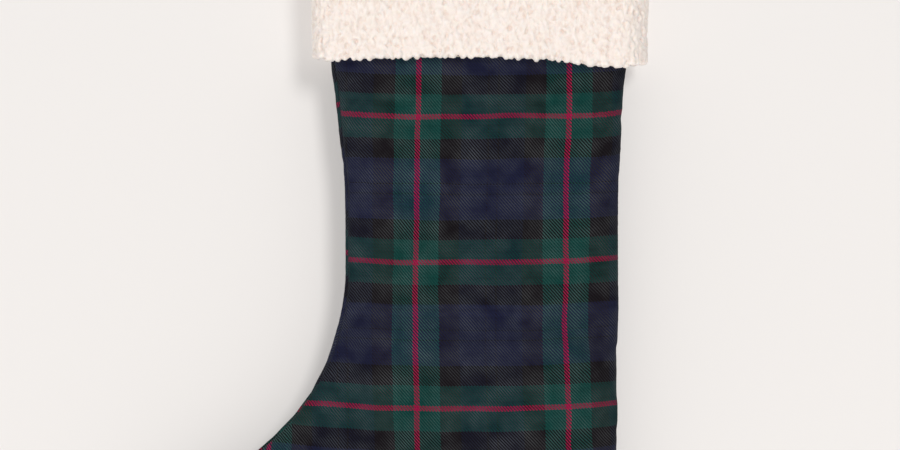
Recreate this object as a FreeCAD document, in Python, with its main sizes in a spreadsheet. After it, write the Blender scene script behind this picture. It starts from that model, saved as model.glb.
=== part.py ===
"""A hanging Christmas stocking: a lined tartan bag with a turned-down fleece cuff and a fabric hanging loop.

The frame is in millimetres, +Z up, with the front of the stocking at -Y and its toe towards -X.
The origin is the middle of the loop's eye, where a hook or peg carries the stocking. Every size is
a cell of the spreadsheet, and each sub-part is bound to those cells.

Each sewn layer is a pair of half shells that meet at the plane Y = 0, as its front and back pattern
pieces do. All of them come from one outline, moved inwards by the layer's own inset.
"""

import FreeCAD
import Part

import math
import os
import re

import Sketcher

Vector = FreeCAD.Vector

SIZES = {
    # Outline of the leg and foot
    "leg_axis": -85.6,
    "leg_half": 88,
    "mouth_level": -70,
    "flare_level": -285,
    "flare_radius": 746,
    "mouth_radius": 954,
    "instep_level": -314,
    "instep_radius": 152,
    "instep_turn": 62,
    "instep_run": 22,
    "toe_radius": 66,
    "heel_radius": 72,
    "heel_level": -497,
    # Cloth layers: inset from the outline, depth from the seam plane, edge rounding, cloth thickness
    "panel_inset": 0,
    "panel_depth": 14,
    "panel_round": 12.5,
    "panel_cloth": 1.4,
    "panel_gap": 0.15,
    "wadding_inset": 1.7,
    "wadding_depth": 12.3,
    "wadding_round": 10.4,
    "wadding_cloth": 1.8,
    "wadding_gap": 1.5,
    "lining_inset": 10.6,
    "lining_depth": 10.2,
    "lining_round": 8.8,
    "lining_cloth": 0.6,
    "lining_gap": 0.15,
    # Seam allowances: flat bands that lie face to face at the seam plane
    "panel_hem_cloth": 1.2,
    "panel_hem_outer": 0.7,
    "panel_hem_inner": 6,
    "lining_hem_cloth": 0.5,
    "lining_hem_outer": 6.6,
    "lining_hem_inner": 11,
    "hem_top": -82,
    # Sewing thread
    "thread_radius": 0.3,
    "panel_thread_inset": 4.6,
    "panel_thread_out": 1.7,
    "lining_thread_inset": 8.6,
    "lining_thread_out": 1,
    "mouth_thread_level": -69.5,
    "mouth_thread_half": 95,
    "mouth_thread_depth": 10.5,
    "mouth_thread_round": 9,
    "hem_thread_level": -179.4,
    "hem_thread_half": 103.6,
    "hem_thread_depth": 16.6,
    "hem_thread_round": 14,
    # Cuff, its turned rim over the mouth, and the backing cloth behind the fleece
    "cuff_top": -62,
    "cuff_rim": -69,
    "cuff_hem": -182,
    "cuff_half": 110,
    "cuff_depth": 24,
    "cuff_round": 20,
    "cuff_bore_half": 104.2,
    "cuff_bore_depth": 17.2,
    "cuff_bore_round": 14.2,
    "cuff_mouth_half": 92,
    "cuff_mouth_depth": 9.2,
    "cuff_mouth_round": 7.5,
    "cuff_edge_round": 2.5,
    "facing_top": -71,
    "facing_hem": -178.8,
    "facing_half": 103,
    "facing_depth": 16,
    "facing_round": 13,
    "facing_bore_half": 102.2,
    "facing_bore_depth": 15.2,
    "facing_bore_round": 12.2,
    "side_stitch_reach": 2.5,
    "side_stitch_pitch": 6,
    "side_stitch_count": 17,
    "side_stitch_top": -77,
    "side_stitch_half": 103.6,
    # Hanging loop: a folded strip of the tartan whose two ends are stacked and sewn into the mouth
    "eye_radius": 8,
    "strip_cloth": 2,
    "strip_half": 7,
    "eye_point": -54,
    "stack_half": 2.1,
    "hinge_level": -59.5,
    "tail_top": -62.2,
    "tail_length": 34,
    "edge_thread_radius": 0.25,
    "edge_thread_in": 1.8,
    "edge_thread_off": 0.3,
    "edge_thread_end": -57,
    "tack_half": 4.6,
    "tack_height": 14,
    "tack_top": -76,
}

doc = FreeCAD.newDocument("hanging_stocking")
sheet = doc.addObject("Spreadsheet::Sheet", "sizes")
for row, (alias, value) in enumerate(SIZES.items(), start=1):
    sheet.set(f"A{row}", alias)
    sheet.set(f"B{row}", str(value))
    sheet.setAlias(f"B{row}", alias)
doc.recompute()

FRONT, BACK = -1, 1
START, END, CENTRE = 1, 2, 3
ROOT_POINT = (-1, 1)
subparts = []


def size(alias):
    """The number that a cell of the sheet holds."""
    return float(sheet.get(alias))


def cells(expression):
    """An expression over cell names, with each name pointing at the sheet."""
    return re.sub(r"[a-z_]+", lambda found: f"sizes.{found[0]}" if found[0] in SIZES else found[0],
                  expression)


def new_body(label):
    """An empty PartDesign body."""
    body = doc.addObject("PartDesign::Body", label)
    body.Label = label
    return body


def add_sketch(body, role, name, offset="0"):
    """A sketch on one of the body's origin planes, moved along that plane's normal."""
    sketch = body.newObject("Sketcher::SketchObject", name)
    plane = next(feature for feature in body.Origin.OriginFeatures if feature.Role == role)
    sketch.AttachmentSupport = [(plane, "")]
    sketch.MapMode = "FlatFace"
    sketch.setExpression("AttachmentOffset.Base.z", cells(offset))
    return sketch


def arc(sketch, x, y, radius, start, end):
    """A counter-clockwise arc between two angles in degrees."""
    circle = Part.Circle(Vector(x, y, 0), Vector(0, 0, 1), radius)
    return sketch.addGeometry(Part.ArcOfCircle(circle, math.radians(start), math.radians(end)), False)


def line(sketch, start, end):
    """A straight line between two points of the sketch's plane."""
    return sketch.addGeometry(Part.LineSegment(Vector(*start, 0), Vector(*end, 0)), False)


def join(sketch, kind, *pairs):
    """Endpoint constraints of one kind, Coincident or Tangent, between the pairs given."""
    for first, first_end, second, second_end in pairs:
        sketch.addConstraint(Sketcher.Constraint(kind, first, first_end, second, second_end))


def drive(sketch, name, expression, *constraint):
    """A dimension that follows an expression over the sheet's cells."""
    index = sketch.addConstraint(Sketcher.Constraint(*constraint))
    sketch.renameConstraint(index, name)
    sketch.setExpression(f"Constraints.{name}", cells(expression))


def drive_point(sketch, name, point, x=None, y=None):
    """Ties a point's distances from the sketch's origin to expressions, given as (value, text)."""
    for axis, kind, place in (("x", "DistanceX", x), ("y", "DistanceY", y)):
        if place is None:
            continue
        value, text = place
        if value < 0:
            drive(sketch, f"{name}_{axis}", f"- ( {text} )", kind, *point, *ROOT_POINT, -value)
        else:
            drive(sketch, f"{name}_{axis}", text, kind, *ROOT_POINT, *point, value)


MOUTH_HALF = ("leg_half + flare_radius + mouth_radius"
              " - sqrt((flare_radius + mouth_radius) ^ 2 - (mouth_level - flare_level) ^ 2)")
TOE_X = ("leg_axis - leg_half - instep_radius"
         " + (instep_radius + toe_radius) * cos(instep_turn) - instep_run * sin(instep_turn)")
TOE_Y = ("instep_level - (instep_radius + toe_radius) * sin(instep_turn)"
         " - instep_run * cos(instep_turn)")


class Outline:
    """The numbers of the leg and foot outline, as the sheet has them."""

    def __init__(self):
        turn = math.radians(size("instep_turn"))
        reach = size("instep_radius") + size("toe_radius")
        spread = size("flare_radius") + size("mouth_radius")
        rise = size("mouth_level") - size("flare_level")
        self.sway = math.degrees(math.asin(rise / spread))
        self.mouth_half = size("leg_half") + spread - math.sqrt(spread ** 2 - rise ** 2)
        self.left = size("leg_axis") - size("leg_half")
        self.right = size("leg_axis") + size("leg_half")
        self.heel = (self.right - size("heel_radius"), size("heel_level"))
        self.instep = (self.left - size("instep_radius"), size("instep_level"))
        self.toe = (self.instep[0] + reach * math.cos(turn) - size("instep_run") * math.sin(turn),
                    self.instep[1] - reach * math.sin(turn) - size("instep_run") * math.cos(turn))
        run = math.dist(self.heel, self.toe)
        slope = math.degrees(math.atan2(self.heel[1] - self.toe[1], self.heel[0] - self.toe[0]))
        drop = math.degrees(math.asin((size("heel_radius") - size("toe_radius")) / run))
        self.sole = 270 + slope - drop


outline = Outline()


def polar(centre, radius, angle):
    """The point at an angle in degrees on a circle."""
    turn = math.radians(angle)
    return (centre[0] + radius * math.cos(turn), centre[1] + radius * math.sin(turn))


def leg_outline(sketch, inset, top, closed=True):
    """Draws the outline, moved inwards by the inset and cut off level at the top.

    The sides swell slightly to the mouth, the heel and toe are round, the instep is a hollow curve
    with a short straight run to the toe. Without its top line the outline is an open path that
    starts at the mouth's right-hand end.
    """
    shrink = sum(sign * size(name) for sign, name in inset)
    shrink_text = " ".join(f"{'+' if sign > 0 else '-'} {name}" for sign, name in inset).lstrip("+ ")
    level = size(top)
    mouth_radius = size("mouth_radius") - shrink
    flare_radius = size("flare_radius") + shrink
    heel_radius = size("heel_radius") - shrink
    toe_radius = size("toe_radius") - shrink
    instep_radius = size("instep_radius") + shrink
    sway = outline.sway
    tip = math.degrees(math.asin((level - size("mouth_level")) / mouth_radius))
    right_mouth = (size("leg_axis") + outline.mouth_half - size("mouth_radius"), size("mouth_level"))
    left_mouth = (size("leg_axis") - outline.mouth_half + size("mouth_radius"), size("mouth_level"))
    right_flare = (outline.right + size("flare_radius"), size("flare_level"))
    left_flare = (outline.left - size("flare_radius"), size("flare_level"))
    instep_angle = 360 - size("instep_turn")
    toe_angle = 180 - size("instep_turn")

    upper_right = arc(sketch, *right_mouth, mouth_radius, -sway, tip)
    flare_right = arc(sketch, *right_flare, flare_radius, 180 - sway, 180)
    back_line = line(sketch, polar(right_flare, flare_radius, 180), polar(outline.heel, heel_radius, 0))
    heel = arc(sketch, *outline.heel, heel_radius, outline.sole, 360)
    sole = line(sketch, polar(outline.heel, heel_radius, outline.sole),
                polar(outline.toe, toe_radius, outline.sole))
    toe = arc(sketch, *outline.toe, toe_radius, toe_angle, outline.sole)
    run = line(sketch, polar(outline.toe, toe_radius, toe_angle),
               polar(outline.instep, instep_radius, instep_angle))
    instep = arc(sketch, *outline.instep, instep_radius, instep_angle, 360)
    shin_line = line(sketch, polar(outline.instep, instep_radius, 0), polar(left_flare, flare_radius, 0))
    flare_left = arc(sketch, *left_flare, flare_radius, 0, sway)
    upper_left = arc(sketch, *left_mouth, mouth_radius, 180 - tip, 180 + sway)

    join(sketch, "Tangent",
         (upper_right, START, flare_right, START), (flare_right, END, back_line, START),
         (back_line, END, heel, END), (heel, START, sole, START), (sole, END, toe, END),
         (toe, START, run, START), (run, END, instep, START), (instep, END, shin_line, START),
         (shin_line, END, flare_left, START), (flare_left, END, upper_left, END))
    drive(sketch, "mouth_r", f"mouth_radius - ({shrink_text})", "Radius", upper_right, mouth_radius)
    drive(sketch, "mouth_l", f"mouth_radius - ({shrink_text})", "Radius", upper_left, mouth_radius)
    drive(sketch, "flare_r", f"flare_radius + ({shrink_text})", "Radius", flare_right, flare_radius)
    drive(sketch, "flare_l", f"flare_radius + ({shrink_text})", "Radius", flare_left, flare_radius)
    drive(sketch, "heel_r", f"heel_radius - ({shrink_text})", "Radius", heel, heel_radius)
    drive(sketch, "toe_r", f"toe_radius - ({shrink_text})", "Radius", toe, toe_radius)
    drive(sketch, "instep_r", f"instep_radius + ({shrink_text})", "Radius", instep, instep_radius)
    drive_point(sketch, "flare_right", (flare_right, CENTRE),
                (right_flare[0], "leg_axis + leg_half + flare_radius"), (right_flare[1], "flare_level"))
    drive_point(sketch, "flare_left", (flare_left, CENTRE),
                (left_flare[0], "leg_axis - leg_half - flare_radius"), (left_flare[1], "flare_level"))
    drive_point(sketch, "mouth_right", (upper_right, CENTRE), y=(size("mouth_level"), "mouth_level"))
    drive_point(sketch, "mouth_left", (upper_left, CENTRE), y=(size("mouth_level"), "mouth_level"))
    drive_point(sketch, "heel", (heel, CENTRE),
                (outline.heel[0], "leg_axis + leg_half - heel_radius"), (outline.heel[1], "heel_level"))
    drive_point(sketch, "toe", (toe, CENTRE), (outline.toe[0], TOE_X), (outline.toe[1], TOE_Y))
    drive_point(sketch, "instep", (instep, CENTRE),
                (outline.instep[0], "leg_axis - leg_half - instep_radius"),
                (outline.instep[1], "instep_level"))
    drive_point(sketch, "top_right", (upper_right, END), y=(level, top))
    if closed:
        top_line = line(sketch, polar(left_mouth, mouth_radius, 180 - tip),
                        polar(right_mouth, mouth_radius, tip))
        join(sketch, "Coincident", (top_line, START, upper_left, START),
             (top_line, END, upper_right, END))
        sketch.addConstraint(Sketcher.Constraint("Horizontal", top_line))
    else:
        drive_point(sketch, "top_left", (upper_left, START), y=(level, top))


def rounded_half(sketch, half, depth, corner, side, gap=None):
    """Draws half of a rounded rectangle about the leg's axis, on one side of the seam plane."""
    centre = size("leg_axis")
    left = centre - size(half)
    right = centre + size(half)
    far = side * size(depth)
    near = side * (size(gap) if gap else 0)
    radius = size(corner)
    inner = far - side * radius
    seam = line(sketch, (left, near), (right, near))
    right_side = line(sketch, (right, near), (right, inner))
    left_side = line(sketch, (left, near), (left, inner))
    face = line(sketch, (left + radius, far), (right - radius, far))
    if side == BACK:
        right_arc = arc(sketch, right - radius, inner, radius, 0, 90)
        left_arc = arc(sketch, left + radius, inner, radius, 90, 180)
        ends = (START, END, START, END)
    else:
        right_arc = arc(sketch, right - radius, inner, radius, 270, 360)
        left_arc = arc(sketch, left + radius, inner, radius, 180, 270)
        ends = (END, START, END, START)
    join(sketch, "Coincident", (seam, START, left_side, START), (seam, END, right_side, START))
    join(sketch, "Tangent", (right_side, END, right_arc, ends[0]), (face, END, right_arc, ends[1]),
         (face, START, left_arc, ends[2]), (left_side, END, left_arc, ends[3]))
    for kind, edge in (("Horizontal", seam), ("Horizontal", face),
                       ("Vertical", right_side), ("Vertical", left_side)):
        sketch.addConstraint(Sketcher.Constraint(kind, edge))
    drive(sketch, "right_corner", corner, "Radius", right_arc, radius)
    drive(sketch, "left_corner", corner, "Radius", left_arc, radius)
    drive_point(sketch, "left", (left_side, START), x=(left, f"leg_axis - {half}"))
    drive_point(sketch, "right", (right_side, START), x=(right, f"leg_axis + {half}"))
    sign = "" if side == BACK else "-"
    drive_point(sketch, "far", (face, START), y=(far, f"{sign} {depth}"))
    if gap:
        drive_point(sketch, "near", (seam, START), y=(near, f"{sign} {gap}"))
    else:
        sketch.addConstraint(Sketcher.Constraint("PointOnObject", seam, START, -1))


def pad(body, sketch, length, reverse=False, both=False):
    """A pad whose length follows an expression."""
    feature = body.newObject("PartDesign::Pad", f"{body.Label}_pad")
    feature.Profile = sketch
    feature.Reversed = reverse
    if both:
        feature.Midplane = True
    feature.setExpression("Length", cells(length))
    doc.recompute()
    return feature


def pocket(body, sketch, length, reverse=False):
    """A pocket whose depth follows an expression, checked to have removed material."""
    before = body.Tip.Shape.Volume
    feature = body.newObject("PartDesign::Pocket", f"{body.Label}_pocket")
    feature.Profile = sketch
    feature.Reversed = reverse
    feature.setExpression("Length", cells(length))
    doc.recompute()
    if not feature.Shape.Volume < before - 1e-3:
        raise RuntimeError(f"{feature.Label} removed nothing")
    return feature


def edges_where(shape, test):
    """The names of the edges whose bounding box passes the test."""
    return [f"Edge{number}" for number, edge in enumerate(shape.Edges, start=1) if test(edge.BoundBox)]


def fillet(body, base, names, radius):
    """A fillet on named edges whose radius follows an expression."""
    feature = body.newObject("PartDesign::Fillet", f"{body.Label}_fillet")
    feature.Base = (base, names)
    feature.setExpression("Radius", cells(radius))
    doc.recompute()
    return feature


def layer_half(label, layer, side):
    """Half of a sewn bag: a shallow tray of cloth with rounded edges, open at the mouth and the seam."""
    body = new_body(label)
    reverse = side == BACK
    offset = f"{'-' if reverse else ''} {layer}_gap"
    profile = add_sketch(body, "XZ_Plane", f"{label}_outline", offset)
    leg_outline(profile, [(1, f"{layer}_inset")], "mouth_level")
    block = pad(body, profile, f"{layer}_depth - {layer}_gap", reverse)
    far = side * size(f"{layer}_depth")
    top = size("mouth_level")
    rim = edges_where(block.Shape, lambda box: abs(box.YMin - far) < 1e-4 and abs(box.YMax - far) < 1e-4
                      and box.ZMin < top - 1e-4)
    rounded = fillet(body, block, rim, f"{layer}_round")
    near = side * size(f"{layer}_gap")
    open_faces = [f"Face{number}" for number, face in enumerate(rounded.Shape.Faces, start=1)
                  if abs(face.BoundBox.ZMin - top) < 1e-4
                  or abs(face.BoundBox.YMin - near) + abs(face.BoundBox.YMax - near) < 1e-4]
    tray = body.newObject("PartDesign::Thickness", f"{label}_tray")
    tray.Base = (rounded, open_faces)
    tray.Reversed = True
    tray.setExpression("Value", cells(f"{layer}_cloth"))
    doc.recompute()
    return body


def add_seam_allowance(body, layer, side):
    """Adds the flat band of cloth that is turned to the seam plane along the leg and foot."""
    reverse = side == BACK
    offset = f"{'-' if reverse else ''} {layer}_gap"
    outer = add_sketch(body, "XZ_Plane", f"{body.Label}_hem_outer", offset)
    leg_outline(outer, [(1, f"{layer}_hem_outer")], "hem_top")
    pad(body, outer, f"{layer}_hem_cloth", reverse)
    inner = add_sketch(body, "XZ_Plane", f"{body.Label}_hem_inner", offset)
    leg_outline(inner, [(1, f"{layer}_hem_inner")], "mouth_level")
    pocket(body, inner, f"{layer}_hem_cloth", not reverse)


def finish(node):
    """Counts a finished object as a sub-part of the stocking."""
    subparts.append(node)
    return node


def mirrored_pair(label, source, normal, base=None):
    """A compound of a body and its mirror image, as one sub-part."""
    twin = doc.addObject("Part::Mirroring", f"{label}_twin")
    twin.Source = source
    twin.Normal = normal
    if base:
        twin.setExpression("Base.x", cells(base))
    both = doc.addObject("Part::Compound", label)
    both.Label = label
    both.Links = [source, twin]
    doc.recompute()
    return finish(both)


def ring_half(label, side, outer, bore, top, hem, edge=None):
    """Half of a rounded rectangular tube; outer and bore each name a half width, depth and corner."""
    body = new_body(label)
    profile = add_sketch(body, "XY_Plane", f"{label}_outer", hem)
    rounded_half(profile, *outer, side, "panel_gap")
    block = pad(body, profile, f"{top} - {hem}")
    if edge:
        near = side * size("panel_gap")
        levels = (size(top), size(hem))
        rims = edges_where(block.Shape, lambda box: box.ZLength < 1e-4
                           and min(abs(box.ZMin - level) for level in levels) < 1e-4
                           and max(abs(box.YMin - near), abs(box.YMax - near)) > 1e-4)
        fillet(body, block, rims, edge)
    for number, (level, reach, shape) in enumerate(bore):
        hollow = add_sketch(body, "XY_Plane", f"{label}_bore_{number}", level)
        rounded_half(hollow, *shape, side)
        pocket(body, hollow, reach)
    return finish(body)


def swept_thread(body, spine, role, offset, x, y, radius):
    """Sweeps a round thread along the spine from a circle on one of the body's planes."""
    profile = add_sketch(body, role, f"{body.Label}_section", offset)
    circle = profile.addGeometry(Part.Circle(Vector(x[0], y[0], 0), Vector(0, 0, 1), size(radius)), False)
    drive(profile, "thread", radius, "Radius", circle, size(radius))
    drive_point(profile, "middle", (circle, CENTRE), x, y)
    pipe = body.newObject("PartDesign::AdditivePipe", f"{body.Label}_pipe")
    pipe.Profile = profile
    pipe.Spine = spine
    doc.recompute()
    return body


def seam_thread(label, layer):
    """The two runs of stitching of a layer's seam, one on each outer face of its allowances."""
    run = new_body(f"{label}_run")
    spine = add_sketch(run, "XZ_Plane", f"{label}_path", f"{layer}_thread_out")
    inset = f"{layer}_thread_inset"
    leg_outline(spine, [(1, inset)], "mouth_level", closed=False)
    x = size("leg_axis") + outline.mouth_half - size(inset)
    y = -size(f"{layer}_thread_out")
    swept_thread(run, spine, "XY_Plane", "mouth_level", (x, f"leg_axis + {MOUTH_HALF} - {inset}"),
                 (y, f"- {layer}_thread_out"), "thread_radius")
    return mirrored_pair(label, run, Vector(0, 1, 0))


def ring_thread(label, thread):
    """A thread that runs round the mouth or the hem."""
    body = new_body(label)
    spine = add_sketch(body, "XY_Plane", f"{label}_path", f"{thread}_level")
    centre = size("leg_axis")
    half = size(f"{thread}_half")
    depth = size(f"{thread}_depth")
    radius = size(f"{thread}_round")
    left, right = centre - half, centre + half
    sides = [line(spine, (right, radius - depth), (right, depth - radius)),
             line(spine, (right - radius, depth), (left + radius, depth)),
             line(spine, (left, depth - radius), (left, radius - depth)),
             line(spine, (left + radius, -depth), (right - radius, -depth))]
    corners = [arc(spine, right - radius, depth - radius, radius, 0, 90),
               arc(spine, left + radius, depth - radius, radius, 90, 180),
               arc(spine, left + radius, radius - depth, radius, 180, 270),
               arc(spine, right - radius, radius - depth, radius, 270, 360)]
    for number, corner in enumerate(corners):
        join(spine, "Tangent", (sides[number], END, corner, START),
             (corner, END, sides[(number + 1) % 4], START))
        drive(spine, f"corner_{number}", f"{thread}_round", "Radius", corner, radius)
    for kind, edge in (("Vertical", 0), ("Horizontal", 1), ("Vertical", 2), ("Horizontal", 3)):
        spine.addConstraint(Sketcher.Constraint(kind, sides[edge]))
    drive_point(spine, "right", (sides[0], START), x=(right, f"leg_axis + {thread}_half"))
    drive_point(spine, "back", (sides[1], START), y=(depth, f"{thread}_depth"))
    drive_point(spine, "left", (sides[2], START), x=(left, f"leg_axis - {thread}_half"))
    drive_point(spine, "front", (sides[3], START), y=(-depth, f"- {thread}_depth"))
    swept_thread(body, spine, "YZ_Plane", "leg_axis", (-depth, f"- {thread}_depth"),
                 (size(f"{thread}_level"), f"{thread}_level"), "thread_radius")
    return finish(body)


def side_seam_thread(label):
    """The cuff's two side seams: a ladder of overcast stitches down each end of the cuff."""
    body = new_body(f"{label}_run")
    x = size("leg_axis") + size("side_stitch_half")
    rung = add_sketch(body, "XZ_Plane", f"{label}_rung", "- side_stitch_reach")
    circle = rung.addGeometry(Part.Circle(Vector(x, size("side_stitch_top"), 0), Vector(0, 0, 1),
                                          size("thread_radius")), False)
    drive(rung, "thread", "thread_radius", "Radius", circle, size("thread_radius"))
    drive_point(rung, "middle", (circle, CENTRE), (x, "leg_axis + side_stitch_half"),
                (size("side_stitch_top"), "side_stitch_top"))
    stitch = pad(body, rung, "2 * side_stitch_reach")
    rows = body.newObject("PartDesign::LinearPattern", f"{label}_rungs")
    rows.Originals = [stitch]
    upright = next(feature for feature in body.Origin.OriginFeatures if feature.Role == "Z_Axis")
    rows.Direction = (upright, [""])
    rows.Reversed = True
    rows.setExpression("Length", cells("side_stitch_pitch * (side_stitch_count - 1)"))
    rows.setExpression("Occurrences", cells("side_stitch_count"))
    body.Tip = rows
    doc.recompute()
    return mirrored_pair(label, body, Vector(1, 0, 0), "leg_axis")


def loop_profile(sketch, off, hollow):
    """Draws the teardrop of the folded strip, moved outwards by the size named off.

    Its two sides are straight and close in to a narrow stack. A hollow profile has the round root
    of the stack and the eye; otherwise the line is an open path that ends above the root.
    """
    shift = size(off) if off else 0
    plus = f" + {off}" if off else ""
    minus = f" - {off}" if off else ""
    bottom = "hinge_level" if hollow else "edge_thread_end"
    reach = size("eye_radius") + size("strip_cloth") + shift
    half = size("stack_half") + shift
    slant = math.asin(size("eye_radius") / -size("eye_point"))
    lean = math.degrees(slant)
    low = size(bottom)
    knee = half / math.tan(slant) - reach / math.sin(slant)
    crown = arc(sketch, 0, 0, reach, -lean, 180 + lean)
    right = line(sketch, polar((0, 0), reach, -lean), (half, knee))
    left = line(sketch, polar((0, 0), reach, 180 + lean), (-half, knee))
    right_leg = line(sketch, (half, knee), (half, low))
    left_leg = line(sketch, (-half, knee), (-half, low))
    join(sketch, "Tangent", (crown, START, right, START), (crown, END, left, START))
    join(sketch, "Coincident", (right, END, right_leg, START), (left, END, left_leg, START))
    sketch.addConstraint(Sketcher.Constraint("Coincident", crown, CENTRE, *ROOT_POINT))
    sketch.addConstraint(Sketcher.Constraint("Vertical", right_leg))
    sketch.addConstraint(Sketcher.Constraint("Vertical", left_leg))
    drive(sketch, "crown", f"eye_radius + strip_cloth{plus}", "Radius", crown, reach)
    drive_point(sketch, "right_leg", (right_leg, END), (half, f"stack_half{plus}"))
    drive_point(sketch, "left_leg", (left_leg, END), (-half, f"- stack_half{minus}"))
    drive_point(sketch, "low_right", (right_leg, END), y=(low, bottom))
    drive_point(sketch, "low_left", (left_leg, END), y=(low, bottom))
    lean_text = "asin(eye_radius / ( - eye_point ))"
    knee_text = (f"- (eye_radius + strip_cloth{plus}) / sin({lean_text})"
                 f" + (stack_half{plus}) / tan({lean_text})")
    drive_point(sketch, "knee_right", (right, END), y=(knee, knee_text))
    drive_point(sketch, "knee_left", (left, END), y=(knee, knee_text))
    if not hollow:
        return
    root = arc(sketch, 0, low, half, 180, 360)
    join(sketch, "Coincident", (root, START, left_leg, END), (root, END, right_leg, END))
    drive_point(sketch, "root", (root, CENTRE), y=(low, "hinge_level"))
    inner = size("eye_radius")
    eye = arc(sketch, 0, 0, inner, -lean, 180 + lean)
    point = (0, size("eye_point"))
    eye_right = line(sketch, polar((0, 0), inner, -lean), point)
    eye_left = line(sketch, polar((0, 0), inner, 180 + lean), point)
    join(sketch, "Tangent", (eye, START, eye_right, START), (eye, END, eye_left, START))
    join(sketch, "Coincident", (eye_right, END, eye_left, END))
    sketch.addConstraint(Sketcher.Constraint("Coincident", eye, CENTRE, *ROOT_POINT))
    sketch.addConstraint(Sketcher.Constraint("PointOnObject", eye_right, END, -2))
    drive(sketch, "eye", "eye_radius", "Radius", eye, inner)
    drive_point(sketch, "point", (eye_right, END), y=(point[1], "eye_point"))


def loop_strip():
    """The strip, folded back on itself round a teardrop eye, with its raw edges turned in."""
    body = new_body("loop_strip")
    profile = add_sketch(body, "XZ_Plane", "loop_strip_profile")
    loop_profile(profile, None, True)
    pad(body, profile, "2 * strip_half", both=True)
    return finish(body)


def loop_edge_thread():
    """The topstitching along both edges of the strip."""
    body = new_body("loop_edge_thread_run")
    spine = add_sketch(body, "XZ_Plane", "loop_edge_thread_path", "strip_half - edge_thread_in")
    loop_profile(spine, "edge_thread_off", False)
    swept_thread(body, spine, "XY_Plane", "edge_thread_end",
                 (size("stack_half") + size("edge_thread_off"), "stack_half + edge_thread_off"),
                 (size("edge_thread_in") - size("strip_half"), "edge_thread_in - strip_half"),
                 "edge_thread_radius")
    return mirrored_pair("loop_edge_thread", body, Vector(0, 1, 0))


def rectangle(sketch, name, low, high):
    """Draws a rectangle between two corners given as ((x, text), (y, text))."""
    (left, left_text), (bottom, bottom_text) = low
    (right, right_text), (top, top_text) = high
    sides = [line(sketch, (left, bottom), (right, bottom)), line(sketch, (right, bottom), (right, top)),
             line(sketch, (right, top), (left, top)), line(sketch, (left, top), (left, bottom))]
    for number in range(4):
        join(sketch, "Coincident", (sides[number], END, sides[(number + 1) % 4], START))
    for kind, number in (("Horizontal", 0), ("Vertical", 1), ("Horizontal", 2), ("Vertical", 3)):
        sketch.addConstraint(Sketcher.Constraint(kind, sides[number]))
    drive_point(sketch, f"{name}_low", (sides[0], START), (left, left_text), (bottom, bottom_text))
    drive_point(sketch, f"{name}_high", (sides[1], END), (right, right_text), (top, top_text))


def loop_tail():
    """The two stacked ends of the strip, which go down inside the mouth at its heel side."""
    body = new_body("loop_tail")
    profile = add_sketch(body, "XZ_Plane", "loop_tail_profile")
    low = ((-size("stack_half"), "- stack_half"),
           (size("tail_top") - size("tail_length"), "tail_top - tail_length"))
    high = ((size("stack_half"), "stack_half"), (size("tail_top"), "tail_top"))
    rectangle(profile, "stack", low, high)
    pad(body, profile, "2 * strip_half", both=True)
    return finish(body)


def loop_tack_thread():
    """The box of stitching that holds the stacked ends of the loop to the lining."""
    body = new_body("loop_tack_thread")
    profile = add_sketch(body, "YZ_Plane", "loop_tack_outer", "- stack_half - 2 * thread_radius")
    top = (size("tack_top"), "tack_top")
    bottom = (size("tack_top") - size("tack_height"), "tack_top - tack_height")
    half = size("tack_half")
    rectangle(profile, "outer", ((-half, "- tack_half"), bottom), ((half, "tack_half"), top))
    pad(body, profile, "2 * thread_radius")
    hollow = add_sketch(body, "YZ_Plane", "loop_tack_inner", "- stack_half - 2 * thread_radius")
    thread = 2 * size("thread_radius")
    rectangle(hollow, "inner",
              ((thread - half, "2 * thread_radius - tack_half"),
               (bottom[0] + thread, "tack_top - tack_height + 2 * thread_radius")),
              ((half - thread, "tack_half - 2 * thread_radius"),
               (top[0] - thread, "tack_top - 2 * thread_radius")))
    pocket(body, hollow, "2 * thread_radius", True)
    return finish(body)


for side, word in ((FRONT, "front"), (BACK, "back")):
    panel = layer_half(f"{word}_panel", "panel", side)
    add_seam_allowance(panel, "panel", side)
    finish(panel)
    finish(layer_half(f"{word}_interlining", "wadding", side))
    lining = layer_half(f"{word}_lining", "lining", side)
    add_seam_allowance(lining, "lining", side)
    finish(lining)
    ring_half(f"cuff_{word}", side, ("cuff_half", "cuff_depth", "cuff_round"),
              [("cuff_rim", "cuff_rim - cuff_hem", ("cuff_bore_half", "cuff_bore_depth",
                                                    "cuff_bore_round")),
               ("cuff_top", "cuff_top - cuff_hem", ("cuff_mouth_half", "cuff_mouth_depth",
                                                    "cuff_mouth_round"))],
              "cuff_top", "cuff_hem", "cuff_edge_round")
    ring_half(f"cuff_facing_{word}", side, ("facing_half", "facing_depth", "facing_round"),
              [("facing_top", "facing_top - facing_hem",
                ("facing_bore_half", "facing_bore_depth", "facing_bore_round"))],
              "facing_top", "facing_hem")

seam_thread("panel_seam_thread", "panel")
seam_thread("lining_seam_thread", "lining")
ring_thread("mouth_seam_thread", "mouth_thread")
ring_thread("cuff_hem_thread", "hem_thread")
side_seam_thread("cuff_side_seam_thread")
loop_strip()
loop_edge_thread()
loop_tail()
loop_tack_thread()

doc.recompute()
faults = [item.Name for item in doc.Objects if "Invalid" in item.State or "Error" in item.State]
faults += [node.Label for node in subparts if node.Shape.isNull() or not node.Shape.isValid()]
if faults:
    raise RuntimeError(f"failed objects: {faults}")

os.makedirs("parts", exist_ok=True)
for node in subparts:
    node.Shape.exportStep(f"parts/{node.Label}.step")
    box = node.Shape.BoundBox
    print(f"{node.Label:24} {node.Shape.Volume:10.0f} mm3  {box.XLength:6.1f} x {box.YLength:5.1f}"
          f" x {box.ZLength:6.1f}  solids {len(node.Shape.Solids)}")
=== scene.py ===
"""The hanging tartan stocking with its fleece cuff and fabric loop, in metres, in the CAD model's frame."""

import math

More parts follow.
